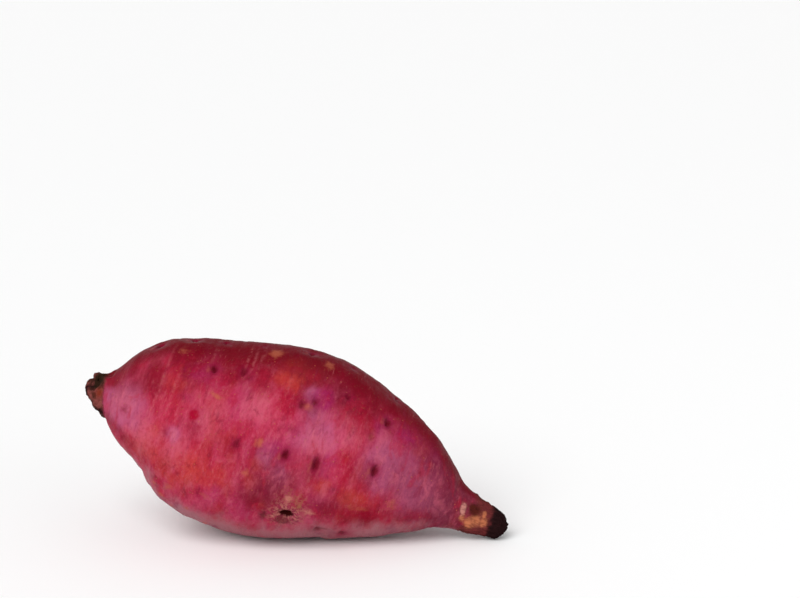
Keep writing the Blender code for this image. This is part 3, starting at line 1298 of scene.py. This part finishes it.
# %% Eyes and scar
EYE_SHADE = colour(122, 16, 50)
EYE_DARK = colour(84, 4, 16)
SCAR_DARK = colour(46, 6, 4)
SCAR_PALE = colour(178, 112, 100)
SCAR_PURPLE = colour(128, 50, 70)
SCAR_BROWN = colour(94, 34, 40)
SCAR_OLIVE = colour(132, 84, 56)
RAY_SCALE = 2.6  # a larger scale gives more and thinner cracks
skin_colour = mix(broken("eye_shade", round_1, 1.5, 0.7, 0.8), skin_colour, EYE_SHADE)
skin_colour = mix(broken("lid", round_1, 1.2, 0.25, 1.6), skin_colour, TAN)
skin_colour = mix(broken("eye", round_1, 1.2, 0.85, 0.6), skin_colour, EYE_DARK)
scar_spot = node("Attribute", {}, attribute_name="scar_place").outputs["Vector"]
scar_gap = node("VectorMath", {0: scar_spot}, operation="LENGTH").outputs["Value"]
pit_shape = {0: scar_spot, 1: (1.7, 1.0, 1.0)}  # the pit is longer along the root
scar_oval = node("VectorMath", pit_shape, operation="MULTIPLY").outputs[0]
pit_gap = node("VectorMath", {0: scar_oval}, operation="LENGTH").outputs["Value"]
scar_ray = node("VectorMath", {0: scar_spot}, operation="NORMALIZE").outputs[0]
rays = node(
    "TexNoise",
    {
        "Vector": scar_ray,
        "Scale": RAY_SCALE,
        "Detail": 3.0,
        "Roughness": 0.6,
        "Distortion": 0.4,
    },
).outputs["Fac"]
rays = plus(rays, times(reckon("SUBTRACT", cloud(round_1, 1.0), 0.5), 1.2))
ragged_gap = plus(scar_gap, times(cloud(round_1, 3.5), 9.0))
scar_rays = times(band(rays, 0.46, 0.60), band(ragged_gap, 14.0, 6.5))
scar_grains = band(cloud(round_1, 1.4, 3.0), 0.48, 0.62)
scar_grains = times(scar_grains, band(ragged_gap, 13.0, 7.0))
skin_colour = mix(band(scar_gap, 9.0, 2.0, 0.0, 0.6), skin_colour, SCAR_PURPLE)
skin_colour = mix(times(scar_grains, 0.65), skin_colour, SCAR_BROWN)
skin_colour = mix(times(scar_rays, 0.55), skin_colour, SCAR_PALE)
skin_colour = mix(broken("scar_pale", round_1, 1.2, 0.7), skin_colour, SCAR_PALE)
skin_colour = mix(broken("scar_olive", round_1, 1.0, 0.7, 2.2), skin_colour, SCAR_OLIVE)
skin_colour = mix(broken("scar_brown", round_1, 1.2, 0.8, 0.9), skin_colour, SCAR_BROWN)
pit_edge = plus(pit_gap, times(cloud(round_1, 1.0), 2.0))
skin_colour = mix(band(pit_edge, 4.1, 2.7), skin_colour, SCAR_DARK)

# %% [markdown]
# ## Cork and wood
#
# The crown is dry cork: brown, rust and olive, with black on its top and its foot. The tail
# shows maroon wood where the skin has gone, rubbed tan and pale in places, and a black,
# dead tip.

# %% Cork and wood
CORK_BROWN = colour(126, 66, 62)
CORK_DARK = colour(70, 38, 32)
CORK_OLIVE = colour(46, 30, 20)
CORK_RUST = colour(120, 44, 28)
WOOD_MAROON = colour(108, 44, 46)
WOOD_DARK = colour(84, 36, 34)
WOOD_TAN = colour(168, 98, 68)
WOOD_PALE = colour(182, 122, 112)
WOOD_BROWN = colour(66, 24, 16)
TIP_BLACK = colour(31, 15, 16)
cork_colour = mix(band(cloud(round_1, 2.0, 4.0), 0.4, 0.6), CORK_BROWN, CORK_DARK)
cork_colour = mix(painted("cork_rust"), cork_colour, CORK_RUST)
cork_colour = mix(band(painted("cork_olive"), 0.15, 0.6), cork_colour, CORK_OLIVE)
cork_colour = mix(band(painted("cork_black"), 0.15, 0.6), cork_colour, TIP_BLACK)
cork = broken("cork", round_1, 1.6)
fibres = cloud(stretched(1, 1, 7), 0.8, 4.0, 0.65)
wood_colour = mix(band(fibres, 0.42, 0.62), WOOD_MAROON, WOOD_DARK)
tail_tan = broken("tail_tan", round_1, 2.0)
tail_pale = broken("tail_pale", round_1, 2.0, 0.9)
tail_brown = broken("tail_brown", round_1, 2.0, 0.95, 0.8)
wood_colour = mix(tail_tan, wood_colour, WOOD_TAN)
wood_colour = mix(tail_pale, wood_colour, WOOD_PALE)
wood_colour = mix(tail_brown, wood_colour, WOOD_BROWN)
wood_colour = mix(times(band(fibres, 0.5, 0.4), 0.35), wood_colour, TIP_BLACK)
bare = reckon("MAXIMUM", reckon("MAXIMUM", tail_tan, tail_pale), tail_brown)
wood = reckon("MAXIMUM", broken("wood", round_1, 2.0), bare)
tip = broken("tip", round_1, 1.6)
final_colour = mix(wood, skin_colour, wood_colour)
final_colour = mix(tip, final_colour, TIP_BLACK)
final_colour = mix(cork, final_colour, cork_colour)
set_input(shader.inputs["Base Color"], final_colour)

# %% [markdown]
# ## Gloss and relief
#
# Sweet potato skin is satiny: it shines softly, more in some places than in others, and
# is dull where it is corky or broken. The finest relief, below half a millimetre, is a bump
# made from the same streaks, pores and cracks, so that what looks like a crease also feels
# like one.

# %% Gloss and relief
SHINE = 0.03  # the skin reflects very little
SHINE_TINT = (1.0, 0.6, 0.7, 1.0)
dry = reckon("MAXIMUM", cork, wood)
gloss = band(cloud(round_2, 3.0, 3.0), 0.3, 0.7, 0.42, 0.56)
roughness = node("Mix", {0: dry, 2: gloss, 3: 0.85}, data_type="FLOAT").outputs[0]
set_input(shader.inputs["Roughness"], roughness)
shader.inputs["Specular IOR Level"].default_value = SHINE
shader.inputs["Specular Tint"].default_value = SHINE_TINT


def bump(height, depth_mm, strength, below=None):
    """Lays a relief over the one below it."""
    inputs = {"Height": height, "Distance": depth_mm * MM, "Strength": strength}
    made = node("Bump", inputs)
    if below is not None:
        tree.links.new(below, made.inputs["Normal"])
    return made.outputs[0]


grain = cloud(round_1, 0.5, 4.0, 0.6)
relief = bump(fine, 0.25, 0.6)
relief = bump(coarse, 0.35, 0.5, relief)
relief = bump(grain, 0.10, 0.5, relief)
relief = bump(pores, -0.15, 0.6, relief)
relief = bump(times(fibres, dry), 0.6, 0.8, relief)
relief = bump(times(cloud(round_1, 0.6, 5.0, 0.7), cork), 0.6, 0.9, relief)
relief = bump(scar_rays, 0.25, 0.6, relief)
set_input(shader.inputs["Normal"], relief)
skin.data.materials.clear()
skin.data.materials.append(potato)
print("material nodes:", len(tree.nodes))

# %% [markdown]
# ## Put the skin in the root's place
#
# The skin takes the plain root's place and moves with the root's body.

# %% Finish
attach(skin, "root")
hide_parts("sweet_potato")
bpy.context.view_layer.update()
print("seconds:", round(time.time() - started, 1))
